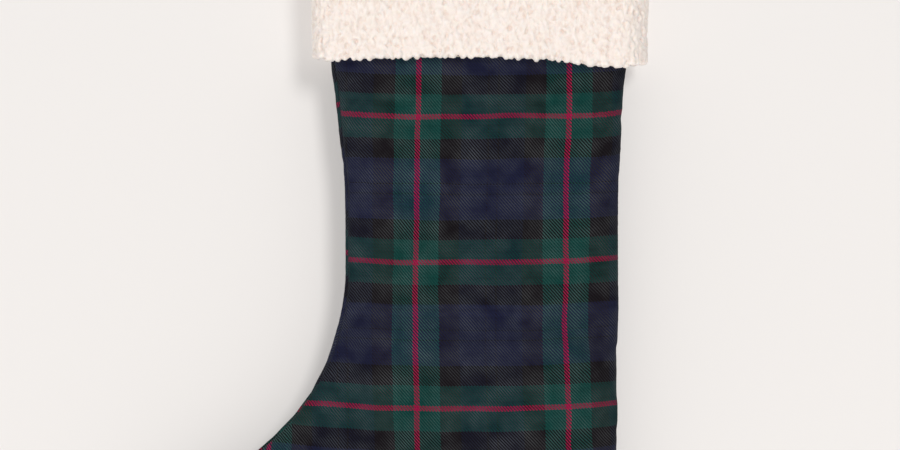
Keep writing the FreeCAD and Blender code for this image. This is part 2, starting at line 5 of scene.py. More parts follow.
import bpy
import numpy as np
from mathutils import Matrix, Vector, kdtree, noise
from mathutils.geometry import delaunay_2d_cdt


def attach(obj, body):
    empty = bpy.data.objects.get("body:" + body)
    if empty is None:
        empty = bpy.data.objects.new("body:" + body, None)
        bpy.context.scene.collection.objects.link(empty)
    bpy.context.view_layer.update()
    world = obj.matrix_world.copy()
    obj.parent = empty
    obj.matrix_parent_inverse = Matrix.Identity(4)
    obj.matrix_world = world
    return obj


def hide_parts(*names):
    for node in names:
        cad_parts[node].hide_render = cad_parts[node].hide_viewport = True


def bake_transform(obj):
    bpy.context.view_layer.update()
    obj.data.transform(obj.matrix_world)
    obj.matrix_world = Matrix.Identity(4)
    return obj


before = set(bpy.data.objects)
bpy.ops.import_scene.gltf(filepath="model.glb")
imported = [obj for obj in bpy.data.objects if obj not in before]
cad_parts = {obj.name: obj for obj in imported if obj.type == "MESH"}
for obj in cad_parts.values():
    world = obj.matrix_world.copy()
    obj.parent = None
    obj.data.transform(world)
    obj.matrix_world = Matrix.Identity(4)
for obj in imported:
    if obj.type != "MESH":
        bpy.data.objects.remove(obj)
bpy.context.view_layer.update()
scene = bpy.context.scene

MM = 0.001
rng = np.random.default_rng(7)

# The outline of leg and foot in millimetres, x to the heel side and z up, as in the CAD model
LEG_AXIS = -85.6
LEG_HALF = 88.0
MOUTH_Z = -70.0
FLARE_Z, FLARE_R = -285.0, 746.0
MOUTH_R = 954.0
INSTEP_Z, INSTEP_R, INSTEP_TURN, INSTEP_RUN = -314.0, 152.0, 62.0, 22.0
TOE_R, HEEL_R, HEEL_Z = 66.0, 72.0, -497.0
CUFF_HEM_Z, CUFF_TOP_Z = -182.0, -62.0
CUFF_HALF, CUFF_DEPTH, CUFF_ROUND = 110.0, 24.0, 20.0


def outline_path(step=0.6):
    """Points on the outline and their inward normals, from the mouth's heel side round to its toe side."""
    left, right = LEG_AXIS - LEG_HALF, LEG_AXIS + LEG_HALF
    rise = MOUTH_Z - FLARE_Z
    spread = FLARE_R + MOUTH_R
    sway = math.asin(rise / spread)
    mouth_half = LEG_HALF + spread - math.sqrt(spread ** 2 - rise ** 2)
    turn = math.radians(INSTEP_TURN)
    reach = INSTEP_R + TOE_R
    instep = np.array((left - INSTEP_R, INSTEP_Z))
    toe = instep + (reach * math.cos(turn) - INSTEP_RUN * math.sin(turn),
                    -reach * math.sin(turn) - INSTEP_RUN * math.cos(turn))
    heel = np.array((right - HEEL_R, HEEL_Z))
    between = heel - toe
    sole = (1.5 * math.pi + math.atan2(between[1], between[0])
            - math.asin((HEEL_R - TOE_R) / np.hypot(*between)))
    points, normals = [], []

    def arc(centre, radius, start, end, inward):
        count = max(3, int(abs(end - start) * radius / step))
        angle = np.linspace(start, end, count, endpoint=False)
        radial = np.stack((np.cos(angle), np.sin(angle)), 1)
        points.append(np.asarray(centre) + radius * radial)
        normals.append(inward * radial)

    def line(start, end, normal):
        start, end = np.asarray(start), np.asarray(end)
        count = max(2, int(np.hypot(*(end - start)) / step))
        points.append(start + (end - start) * np.linspace(0, 1, count, endpoint=False)[:, None])
        normals.append(np.tile(normal, (count, 1)))

    def rim(centre, radius, angle):
        return np.asarray(centre) + radius * np.array((math.cos(angle), math.sin(angle)))

    pi = math.pi
    toe_turn = pi - turn
    arc((LEG_AXIS + mouth_half - MOUTH_R, MOUTH_Z), MOUTH_R, 0, -sway, -1)
    arc((right + FLARE_R, FLARE_Z), FLARE_R, pi - sway, pi, 1)
    line((right, FLARE_Z), (right, HEEL_Z), (-1, 0))
    arc(heel, HEEL_R, 2 * pi, sole, -1)
    line(rim(heel, HEEL_R, sole), rim(toe, TOE_R, sole), (-math.cos(sole), -math.sin(sole)))
    arc(toe, TOE_R, sole, toe_turn, -1)
    line(rim(toe, TOE_R, toe_turn), rim(instep, INSTEP_R, 2 * pi - turn),
         (-math.cos(toe_turn), -math.sin(toe_turn)))
    arc(instep, INSTEP_R, 2 * pi - turn, 2 * pi, 1)
    line((left, INSTEP_Z), (left, FLARE_Z), (1, 0))
    arc((left - FLARE_R, FLARE_Z), FLARE_R, 0, sway, 1)
    arc((LEG_AXIS - mouth_half + MOUTH_R, MOUTH_Z), MOUTH_R, pi + sway, pi, -1)
    return np.concatenate(points), np.concatenate(normals)


PATH, PATH_NORMAL = outline_path()


def smooth(x, low, high):
    """A smooth step from 0 at low to 1 at high."""
    t = np.clip((x - low) / (high - low), 0, 1)
    return t * t * (3 - 2 * t)


def unit(vectors):
    """Vectors brought to a length of 1."""
    return vectors / np.maximum(np.linalg.norm(vectors, axis=-1, keepdims=True), 1e-6)


def distances(line):
    """How far along a line of points each of them lies."""
    return np.concatenate(([0], np.cumsum(np.hypot(*np.diff(line, axis=0).T))))


def sample(at, run, values):
    """Rows of values along a line, read at other distances along it."""
    return np.stack([np.interp(at, run, column) for column in values.T], 1)


def right_of(line, run):
    """Unit vectors square to a flat line of points, on its right."""
    ahead = unit(np.gradient(line, run, axis=0))
    return np.stack((ahead[:, 1], -ahead[:, 0]), 1)


def search_tree(points):
    """A tree that finds the closest of some points."""
    tree = kdtree.KDTree(len(points))
    for number, point in enumerate(points.tolist()):
        tree.insert((*point, 0)[:3], number)
    tree.balance()
    return tree


def waves(x, z, seed, octaves):
    """Smooth random waves, one value for each pair of coordinates."""
    return np.array([noise.fractal(Vector((p, q, seed)), 1.0, 2.0, octaves) for p, q in zip(x, z)])


# Where the seam lies, in millimetres from the outline: rolled to the front along the instep side, where
# the back panel shows past it, and to the back everywhere else
INSTEP_SIDE = (PATH[:, 0] < LEG_AXIS) * smooth(PATH[:, 1], -500, -450)
WIDEST = smooth(PATH[:, 1], -470, -420) * (1 - smooth(PATH[:, 1], -345, -300))
ROLL = INSTEP_SIDE * (2.2 + 0.7 * WIDEST) - 0.4

PATH_TREE = search_tree(PATH)


def nearest(points):
    """For each point: the index of the closest outline sample, and the signed distance inside it."""
    index = np.array([PATH_TREE.find((x, z, 0))[1] for x, z in points.tolist()])
    offset = points - PATH[index]
    return index, (offset * PATH_NORMAL[index]).sum(1)


class Section:
    """The rounded edge of a stuffed layer, from flat cloth round to the seam and past it."""

    def __init__(self, width, depth, power):
        self.width = width
        angle = np.linspace(math.pi / 2, -math.pi / 2 * 0.8, 601)
        blend = 2 / power
        self.inset = width * (1 - np.abs(np.cos(angle)) ** blend)
        self.depth = depth * np.sign(np.sin(angle)) * np.abs(np.sin(angle)) ** blend
        self.length = distances(np.stack((self.inset, self.depth), 1))

    def surplus(self, roll, side):
        """How far the flat pattern reaches past the outline when the seam is rolled to the front."""
        # The sample on the edge's widest line, where the angle passes through zero
        half = len(self.inset) * 5 // 9
        amount = np.abs(roll)
        past = np.interp(amount, self.inset[half:], self.length[half:])
        short = np.interp(amount, self.inset[:half][::-1], self.length[:half][::-1])
        return np.where(roll * side > 0, past, short) - self.width

    def bend(self, distance):
        """Inset and depth at a distance inside the outline, measured on the flat pattern."""
        along = np.clip(self.width - distance, 0, self.length[-1])
        return np.interp(along, self.length, self.inset), np.interp(along, self.length, self.depth)


def staggered(low, high, gap, rows):
    """Points the gap apart in rows at the given heights, every other row shifted by half a gap."""
    lines = [np.arange(low + (k % 2) * gap / 2, high, gap) for k in range(len(rows))]
    return np.concatenate([np.stack((line, np.full(len(line), z)), 1) for line, z in zip(lines, rows)])


def flat_mesh(inset, section, side, roll, spacing):
    """A triangle mesh of a flat pattern piece: points, faces and each point's distance from the seam."""
    keep = PATH[:, 1] <= MOUTH_Z + 1e-6
    path, normal = PATH[keep], PATH_NORMAL[keep]
    reach = section.surplus(roll[keep], side) - inset
    edge = path - normal * reach[:, None]
    run = distances(edge)
    edge = sample(np.linspace(0, run[-1], int(run[-1] / spacing)), run, edge)
    edge[0, 1] = edge[-1, 1] = MOUTH_Z
    across = int(abs(edge[0, 0] - edge[-1, 0]) / spacing)
    brim = np.linspace(edge[-1], edge[0], across + 1)[1:-1]
    loop = np.concatenate((edge, brim))
    low, high = loop.min(0), loop.max(0)
    grid = staggered(low[0], high[0], spacing, np.arange(low[1], high[1], spacing * 0.866))
    index, distance = nearest(grid)
    inside = distance > spacing * 0.62 - section.surplus(roll, side)[index] + inset
    grid = grid[inside & (grid[:, 1] < MOUTH_Z - spacing * 0.5)]
    points = np.concatenate((loop, grid))
    links = [(k, (k + 1) % len(loop)) for k in range(len(loop))]
    out = delaunay_2d_cdt([Vector(p) for p in points.tolist()], links, [], 1, 1e-4)
    flat = np.array([tuple(v) for v in out[0]])
    index, distance = nearest(flat)
    edge_gap = distance + section.surplus(roll, side)[index] - inset
    return flat, [tuple(f) for f in out[2]], edge_gap


def mesh_object(name, points, faces, pattern=None):
    """A smooth mesh object from points in millimetres, with its flat pattern as an attribute."""
    mesh = bpy.data.meshes.new(name)
    mesh.from_pydata((np.asarray(points) * MM).tolist(), [], faces)
    mesh.update()
    if pattern is not None:
        layer = mesh.attributes.new("pattern", "FLOAT_VECTOR", "POINT")
        flat = np.zeros((len(points), 3), np.float32)
        flat[:, :pattern.shape[1]] = pattern
        layer.data.foreach_set("vector", flat.ravel())
    obj = bpy.data.objects.new(name, mesh)
    scene.collection.objects.link(obj)
    mesh.shade_smooth()
    return obj


def evaluated(obj):
    """The object as its modifiers leave it."""
    return obj.evaluated_get(bpy.context.evaluated_depsgraph_get())


def settle(obj):
    """Applies the object's modifiers to its mesh."""
    bpy.context.view_layer.update()
    shape = bpy.data.meshes.new_from_object(evaluated(obj))
    obj.modifiers.clear()
    old = obj.data
    obj.data = shape
    bpy.data.meshes.remove(old)
    shape.shade_smooth()


def coordinates(mesh):
    """A mesh's points in millimetres."""
    flat = np.empty(len(mesh.vertices) * 3)
    mesh.vertices.foreach_get("co", flat)
    return flat.reshape(-1, 3) / MM


def normals(mesh):
    """A mesh's normals, one for each point."""
    return np.array([tuple(v.normal) for v in mesh.vertices])


def set_coordinates(mesh, points):
    """Moves a mesh's points, given in millimetres."""
    mesh.vertices.foreach_set("co", (points * MM).ravel())
    mesh.update()


def simulate(obj, pinned):
    """Lets the cloth take up its slack under pressure; no point moves further than FURTHEST."""
    start = coordinates(obj.data)
    group = obj.vertex_groups.new(name="pin")
    group.add([int(k) for k in np.flatnonzero(pinned)], 1.0, "REPLACE")
    cloth = obj.modifiers.new("cloth", "CLOTH")
    settings = dict(vertex_group_mass="pin", quality=6, mass=0.02, air_damping=2, tension_stiffness=12,
                    compression_stiffness=12, shear_stiffness=6, bending_stiffness=0.4,
                    use_pressure=True, uniform_pressure_force=2.0, shrink_min=-0.02)
    for key, value in settings.items():
        setattr(cloth.settings, key, value)
    cloth.settings.effector_weights.gravity = 0.15
    cloth.collision_settings.use_collision = False
    cloth.point_cache.frame_start = 1
    cloth.point_cache.frame_end = FRAMES
    for number in range(1, FRAMES + 1):
        scene.frame_set(number)
    end = coordinates(evaluated(obj).to_mesh())
    obj.modifiers.clear()
    scene.frame_set(1)
    step = end - start
    size = np.linalg.norm(step, axis=1, keepdims=True)
    limit = FURTHEST * np.tanh(size / FURTHEST) / np.maximum(size, 1e-9)
    set_coordinates(obj.data, start + step * limit)


def stuffed(flat, section, side, inset, crown):
    """Wraps a flat pattern round its rounded edges and gives it a gentle crown."""
    index, distance = nearest(flat)
    edge, depth = section.bend(distance - inset)
    base = PATH[index] + PATH_NORMAL[index] * (edge + inset)[:, None]
    plain = distance - inset >= section.width
    place = np.where(plain[:, None], flat, base)
    swell = crown * (1 - smooth(place[:, 1], -235, -180))
    lift = 1 - (1 - np.clip(distance / 78, 0, 1)) ** 2
    y = side * (depth + swell * lift)
    return np.stack((place[:, 0], y, place[:, 1]), 1)


class Shader:
    """A node material, built with short calls."""

    def __init__(self, name, **uniform):
        self.material = bpy.data.materials.new(name)
        self.material.use_nodes = True
        self.tree = self.material.node_tree
        self.bsdf = self.tree.nodes["Principled BSDF"]
        for socket, value in uniform.items():
            self.bsdf.inputs[socket.replace("_", " ")].default_value = value

    def node(self, kind, inputs=(), **settings):
        """Adds a node; its inputs, by name or number, take outputs or plain values."""
        made = self.tree.nodes.new("ShaderNode" + kind)
        for key, value in settings.items():
            setattr(made, key, value)
        for key, value in dict(inputs).items():
            self.feed(value, made.inputs[key])
        return made

    def feed(self, value, socket):
        """Links an output to a socket, or sets the socket to a plain value."""
        if isinstance(value, bpy.types.NodeSocket):
            self.tree.links.new(value, socket)
        else:
            socket.default_value = value

    def math(self, operation, *values):
        return self.node("Math", enumerate(values), operation=operation).outputs[0]

    def times(self, first, second):
        return self.math("MULTIPLY", first, second)

    def fit(self, value, gain, offset):
        return self.math("MULTIPLY_ADD", value, gain, offset)

    def arch(self, value):
        """Half a wave: 0 at 0 and 1, and 1 half way."""
        return self.math("SINE", self.times(value, math.pi))

    def mix(self, factor, first, second, blend="MIX"):
        inputs = {0: factor, 6: first, 7: second}
        return self.node("Mix", inputs, data_type="RGBA", blend_type=blend).outputs[2]

    def scalar_mix(self, factor, first, second):
        return self.node("Mix", {0: factor, 2: first, 3: second}, data_type="FLOAT").outputs[0]

    def ramp(self, factor, stops, mode="LINEAR"):
        made = self.node("ValToRGB", {0: factor})
        made.color_ramp.interpolation = mode
        points = made.color_ramp.elements
        while len(points) < len(stops):
            points.new(0.5)
        for point, (place, _) in zip(points, stops):
            point.position = place
        for point, (_, colour) in zip(points, stops):
            point.color = (*colour, 1)
        return made.outputs[0]

    def noise(self, vector, scale, detail=2, distortion=0.0):
        inputs = {"Vector": vector, "Scale": scale, "Detail": detail, "Distortion": distortion}
        return self.node("TexNoise", inputs).outputs["Fac"]

    def random(self, number, shift):
        """A random value that is the same for the same whole number."""
        inputs = {"W": self.math("ADD", number, shift)}
        return self.node("TexWhiteNoise", inputs, noise_dimensions="1D").outputs["Value"]

    def join(self, x, y, z=0.0):
        return self.node("CombineXYZ", enumerate((x, y, z))).outputs[0]

    def bump(self, height, strength, distance):
        made = self.node("Bump", {"Height": height, "Strength": strength, "Distance": distance})
        self.feed(made.outputs[0], self.bsdf.inputs["Normal"])

    def surface(self, value):
        """Replaces what the material shows."""
        self.feed(value, self.tree.nodes["Material Output"].inputs["Surface"])

    def colour(self, value):
        self.feed(value, self.bsdf.inputs["Base Color"])

    def shade(self, value, colour):
        """Gives the surface a colour that a value darkens."""
        self.colour(self.mix(1.0, self.join(value, value, value), colour, "MULTIPLY"))

    def pattern(self):
        """The place on the flat pattern: as a vector, across it and up it."""
        place = self.node("Attribute", attribute_name="pattern").outputs["Vector"]
        axes = self.node("SeparateXYZ", {0: place})
        return place, axes.outputs[0], axes.outputs[1]

    def yarns(self, place, width):
        """The place counted in yarns, the yarn's whole number, and the place across that yarn."""
        count = self.math("DIVIDE", place, width)
        return count, self.math("FLOOR", count), self.math("FRACT", count)


def stripes(shader, place, red_line, period, green_half, palette):
    """The tartan's stripes over one repeat: navy with two tram lines, black, and green with a red line."""
    black, navy, green, red = palette
    black_width, red_half, tram, tram_width = 13.0, 1.74, 3.0, 0.55
    middle = period / 2
    black_low = middle - green_half - black_width
    starts = [(0, navy), (tram, black), (tram + tram_width, navy), (black_low, black),
              (middle - green_half, green), (middle - red_half, red), (middle + red_half, green),
              (middle + green_half, black), (period - black_low, navy),
              (period - tram - tram_width, black), (period - tram, navy)]
    along = shader.math("FRACT", shader.math("DIVIDE", shader.math("SUBTRACT", place, red_line), period))
    along = shader.math("FRACT", shader.math("ADD", along, 0.5))
    return shader.ramp(along, [(start / period, colour) for start, colour in starts], "CONSTANT")


def tartan(name, warp_red, weft_red):
    """Brushed 2/2 twill in millimetres of the flat pattern; the red lines' places set its phase."""
    shader = Shader(name, Roughness=0.9, Sheen_Weight=0.035, Sheen_Roughness=0.5,
                    Sheen_Tint=(0.7, 0.78, 0.85, 1), Specular_IOR_Level=0.05)
    place, x, z = shader.pattern()
    drift = shader.math("SUBTRACT", shader.noise(place, 0.022, 1), 0.5)
    swing = shader.math("SUBTRACT", shader.noise(place, 0.025, 1), 0.5)
    x = shader.math("ADD", x, shader.times(drift, 2.0))
    z = shader.math("ADD", z, shader.times(swing, 2.2))
    u, end, across = shader.yarns(x, END_WIDTH)
    v, pick, up = shader.yarns(z, PICK_WIDTH)
    phase = shader.math("FLOORED_MODULO", shader.math("ADD", end, pick), 4.0)
    warp_top = shader.math("LESS_THAN", phase, 1.5)
    along_end = shader.times(shader.math("ADD", phase, up), 0.5)
    along_pick = shader.times(shader.math("ADD", shader.math("SUBTRACT", phase, 2.0), across), 0.5)

    def float_height(over, along):
        return shader.times(shader.arch(over), shader.fit(shader.arch(along), 0.5, 0.5))

    height = shader.scalar_mix(warp_top, float_height(up, along_pick), float_height(across, along_end))
    # The crosswise navy is lighter than the lengthwise one, and the crosswise green stripe is narrower
    black, green, red = (0.007, 0.005, 0.007), (0.0035, 0.043, 0.037), (0.29, 0.008, 0.052)
    warp_navy, weft_navy = (0.0055, 0.0068, 0.019), (0.0125, 0.0138, 0.048)
    warp = stripes(shader, x, warp_red, WARP_PERIOD, 15.2, (black, warp_navy, green, red))
    weft = stripes(shader, z, weft_red, WEFT_PERIOD, 14.3, (black, weft_navy, green, red))
    cloth = shader.mix(warp_top, weft, warp)
    # Light and dark yarns, fibres and wear; painted shade in the hollows between the yarns, and warp floats
    # painted lighter as ridges that catch the light
    streak = shader.noise(shader.join(shader.times(u, 0.04), v), 0.9, 2)
    warp_value = shader.fit(shader.random(end, 11.3), 0.3, 0.85)
    weft_value = shader.fit(streak, 0.5, shader.fit(shader.random(pick, 71.7), 0.3, 0.6))
    value = shader.scalar_mix(warp_top, shader.times(weft_value, 0.95), shader.times(warp_value, 1.12))
    fibre = shader.noise(shader.join(u, v), 2.3, 3)
    wear = shader.noise(place, 0.02, 3)
    for layer in ((fibre, 0.7, 0.65), (height, 1.3, 0.15), (wear, 0.3, 0.85)):
        value = shader.times(value, shader.fit(*layer))
    tone = shader.node("HueSaturation", {"Value": value, "Color": cloth})
    # Painted sheen highlight added to the colour on the warp's ridges, more where the nap stands up and
    # none on the red yarn
    nap = shader.math("MAXIMUM", shader.fit(shader.noise(place, 0.06, 2), 0.5, -0.145), 0.02)
    painted_ridge_sheen = shader.times(nap, shader.times(height, height))
    painted_ridge_sheen = shader.times(painted_ridge_sheen, shader.times(warp_top, fibre))
    redness = shader.node("SeparateColor", {0: cloth}).outputs[0]
    painted_ridge_sheen = shader.times(painted_ridge_sheen, shader.fit(redness, -2.6, 1.0))
    painted_sheen_tint = shader.mix(1.0, shader.join(painted_ridge_sheen, painted_ridge_sheen, painted_ridge_sheen), (1.0, 1.12, 1.15, 1), "MULTIPLY")
    shader.colour(shader.mix(1.0, tone.outputs[0], painted_sheen_tint, "ADD"))
    shader.bump(shader.fit(fibre, 0.35, height), 0.55, 0.00028)
    return shader.material


def plain_weave(name, colour, pitch):
    """A plain woven cloth whose threads are the pitch apart, in millimetres of the flat pattern."""
    shader = Shader(name, Roughness=0.85, Sheen_Weight=0.15, Specular_IOR_Level=0.25)
    place, x, z = shader.pattern()
    end, across = shader.yarns(x, pitch)[1:]
    pick, up = shader.yarns(z, pitch)[1:]
    over = shader.math("FLOORED_MODULO", shader.math("ADD", end, pick), 2.0)
    across, up = (shader.math("POWER", shader.arch(side), 0.7) for side in (across, up))
    height = shader.scalar_mix(over, across, up)
    value = shader.times(shader.fit(shader.random(end, 5.2), 0.12, 0.9),
                         shader.fit(shader.random(pick, 9.1), 0.12, 0.94))
    # Painted shade: each thread darkens towards its edges, where it dips under the threads across it
    value = shader.times(value, shader.fit(height, 0.22, 0.82))
    value = shader.times(value, shader.fit(shader.noise(place, 0.06, 3), 0.14, 0.93))
    shader.shade(value, (*colour, 1))
    shader.bump(height, 0.5, 0.00015)
    return shader.material


def thread(name, colour):
    """Spun sewing thread: fine plies that run round it at a slant."""
    shader = Shader(name, Roughness=0.6, Sheen_Weight=0.2, Specular_IOR_Level=0.4)
    place = shader.node("TexCoord").outputs["Object"]
    wave = shader.node("TexWave", {"Vector": place, "Scale": 900, "Distortion": 1.0},
                       wave_type="BANDS", bands_direction="DIAGONAL")
    ply = wave.outputs["Fac"]
    # Painted shade: darker in the grooves between the plies
    shader.shade(shader.fit(ply, 0.4, 0.7), (*colour, 1))
    shader.bump(ply, 0.4, 0.0001)
    return shader.material


def felted(name, colour):
    """Soft needled felt: matted fibres with no weave."""
    shader = Shader(name, Roughness=0.95, Sheen_Weight=0.3, Specular_IOR_Level=0.1)
    place = shader.node("TexCoord").outputs["Object"]
    fibre = shader.noise(place, 900, 4, 1.5)
    shader.shade(shader.fit(fibre, 0.3, 0.82), (*colour, 1))
    shader.bump(fibre, 0.6, 0.0004)
    return shader.material


# The tartan's repeat and yarn widths along the flat pattern
WARP_PERIOD, WEFT_PERIOD = 97.3, 93.8
END_WIDTH, PICK_WIDTH = 0.505, 0.57
SECTION = Section(20.0, 13.2, 2.35)
FINE_MESH, COARSE_MESH = 2.1, 4.4
# The cloth simulation's length in frames, and how far it may move a point
FRAMES, FURTHEST = 26, 5.0
# How much the front and back of the leg bulge
SWELL = 3.6
TWILL_THICK, FELT_THICK, COTTON_THICK = 1.1, 1.5, 0.5
TARTAN_FRONT = tartan("tartan_front", -126.4, -312.9)
TARTAN_BACK = tartan("tartan_back", -142.0, -309.2)


def facing_out(points, faces, side):
    """The faces of a front (-1) or back (1) piece, turned over if they look into the stocking."""
    corner = points[np.array([face[:3] for face in faces])]
    facing = np.cross(corner[:, 1] - corner[:, 0], corner[:, 2] - corner[:, 0])[:, 1]
    return [face[::-1] for face in faces] if facing.sum() * side < 0 else faces


def wrap_panel(name, side, spacing, seed):
    """A tartan panel's flat pattern wrapped to the stuffed shape, at one fineness of mesh."""
    flat, faces, edge_gap = flat_mesh(0.0, SECTION, side, ROLL, spacing)
    points = stuffed(flat, SECTION, side, 0.0, SWELL)
    # Both sides stand out a little: the instep side just under the cuff, the heel side further down
    side_pull = smooth(np.abs(points[:, 0] - LEG_AXIS), 45, LEG_HALF)
    height = points[:, 2]
    points[:, 0] += side_pull * np.where(points[:, 0] > LEG_AXIS, 1.1 * smooth(-height, 195, 230),
                                         -1.6 * (1 - smooth(-height, 225, 265)))
    lumps = waves(points[:, 0] * 0.045, points[:, 2] * 0.03, seed, 3)
    fade = smooth(edge_gap, 0, 25) * (1 - smooth(points[:, 2], -215, -190))
    points[:, 1] += side * 1.1 * lumps * fade
    faces = facing_out(points, faces, side)
    obj = mesh_object(name, points, faces, bowed(flat))
    return obj, flat, edge_gap


def bowed(flat):
    """The flat pattern with the tartan's crosswise lines a little bowed, as cut cloth hangs."""
    pattern = flat.copy()
    pattern[:, 1] -= 2.6 * ((flat[:, 0] - LEG_AXIS + 6) / LEG_HALF) ** 2
    pattern[:, 0] += 1.5 * np.cos((flat[:, 1] + 330) * 0.0165)
    return pattern


def make_panel(name, side, seed):
    """One tartan panel: settled as cloth on a coarse mesh, and the result carried to a fine one."""
    obj, flat, edge_gap = wrap_panel(name, side, FINE_MESH, seed)
    coarse, coarse_flat, coarse_gap = wrap_panel("cloth_trial", side, COARSE_MESH, seed)
    before = coordinates(coarse.data)
    # Held along the seam and inside the cuff
    pinned = (coarse_gap < 0.8) | (before[:, 2] > CUFF_HEM_Z - 3)
    simulate(coarse, pinned)
    move = coordinates(coarse.data) - before
    bpy.data.objects.remove(coarse)
    tree = search_tree(coarse_flat)
    points = coordinates(obj.data)
    for number, (x, z) in enumerate(flat.tolist()):
        near = tree.find_n((x, z, 0), 8)
        reach = near[-1][2] * 1.001
        weight = np.array([(1 - found[2] / reach) ** 2 for found in near])
        points[number] += (move[[found[1] for found in near]] * weight[:, None]).sum(0) / weight.sum()
    set_coordinates(obj.data, points)
    return obj, flat, edge_gap


def declare_sheet(flat, faces):
    """Works out the size and area of a hung cloth piece's flat cut, given in millimetres; nothing uses
    them.
    """
    corner = flat[np.array([face[:3] for face in faces])]
    first, second = corner[:, 1] - corner[:, 0], corner[:, 2] - corner[:, 0]
    area = float(np.abs(first[:, 0] * second[:, 1] - first[:, 1] * second[:, 0]).sum() / 2)
    width, length = (flat.max(0) - flat.min(0)) * MM
    area = min(area * MM * MM, width * length)


def sew_dip(obj, edge_gap):
    """Turns the cloth inwards at the seam, so that a narrow crease runs along it."""
    points = coordinates(obj.data)
    points -= normals(obj.data) * (0.7 * (1 - smooth(edge_gap, 0, 1.8)))[:, None]
    set_coordinates(obj.data, points)


def thicken(obj, thickness):
    """Gives the cloth its thickness, inwards."""
    solid = obj.modifiers.new("cloth", "SOLIDIFY")
    solid.thickness = thickness * MM
    solid.offset = -1
    settle(obj)


skins = {}
for side, word, material, seed in ((-1, "front", TARTAN_FRONT, 3.1), (1, "back", TARTAN_BACK, 8.4)):
    panel, flat, gap = make_panel(f"tartan_{word}", side, seed)
    flat_faces = [tuple(p.vertices) for p in panel.data.polygons]
    sew_dip(panel, gap)
    skins[side] = (coordinates(panel.data), flat_faces, gap, flat)
    thicken(panel, TWILL_THICK)
    panel.data.materials.append(material)
    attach(panel, "stocking")
    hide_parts(f"{word}_panel")
    declare_sheet(flat, flat_faces)


def trim(faces, keep):
    """The faces whose points are all kept, with the points renumbered."""
    number = np.cumsum(keep) - 1
    kept = [face for face in faces if all(keep[k] for k in face)]
    return [tuple(int(number[k]) for k in face) for face in kept]


# The felt's face lies this deep below the tartan's, and its edge this far from the seam
FELT_DEPTH, FELT_MARGIN = 1.7, 7


def make_interlining(word, side):
    """Felt that lies inside the tartan, a steady distance from it, and stops short of the seam."""
    points, faces, gap, flat = skins[side]
    sheet = mesh_object(f"interlining_{word}", points, faces)
    points = points - normals(sheet.data) * FELT_DEPTH
    keep = (gap > FELT_MARGIN) & (points[:, 2] < MOUTH_Z - 0.5)
    bpy.data.objects.remove(sheet)
    kept_faces = trim(faces, keep)
    felt = mesh_object(f"interlining_{word}", points[keep], kept_faces, flat[keep])
    thicken(felt, FELT_THICK)
    felt.data.materials.append(FELT)
    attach(felt, "stocking")
    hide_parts(f"{word}_interlining")
    declare_sheet(flat[keep], kept_faces)


def make_lining(word, side):
    """Half of the lining bag: thin cloth, slightly slack, from its seam to the mouth."""
    no_roll = np.zeros(len(PATH))
    flat, faces, gap = flat_mesh(LINING_INSET, LINING_SECTION, side, no_roll, LINING_MESH)
    points = stuffed(flat, LINING_SECTION, side, LINING_INSET, 0.0)
    faces = facing_out(points, faces, side)
    sheet = mesh_object(f"lining_{word}", points, faces, flat)
    ease = smooth(gap, 4, 20) * (1 - smooth(points[:, 2], -110, -85))
    slack = waves(points[:, 0] * 0.05, points[:, 2] * 0.02, side * 5.0, 2)
    points[:, 1] -= side * 1.3 * (0.5 + slack) * ease
    points[:, 1] = side * np.maximum(np.abs(points[:, 1]), 0.2 + 0.05 * np.clip(gap, 0, 4))
    set_coordinates(sheet.data, points)
    thicken(sheet, COTTON_THICK)
    sheet.data.materials.append(LINING)
    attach(sheet, "stocking")
    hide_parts(f"{word}_lining")
    declare_sheet(flat, faces)


LINING_INSET, LINING_MESH = 10.6, 3.6
LINING_SECTION = Section(12.0, 9.9, 2.2)
LINING = plain_weave("lining_cotton", (0.78, 0.72, 0.62), 0.34)
FELT = felted("interlining_felt", (0.82, 0.8, 0.76))
for side, word in ((-1, "front"), (1, "back")):
    make_interlining(word, side)
    make_lining(word, side)


def gather(name, pieces):
    """One mesh object from several lists of vertices and faces."""
    verts, faces = [], []
    for piece_verts, piece_faces in pieces:
        start = len(verts)
        verts.extend(tuple(v) for v in piece_verts)
        faces.extend(tuple(k + start for k in face) for face in piece_faces)
    return mesh_object(name, np.array(verts), faces)


def bell(x, middle, width):
    """A smooth hump, 1 at its middle."""
    return np.exp(-((x - middle) / width) ** 2)


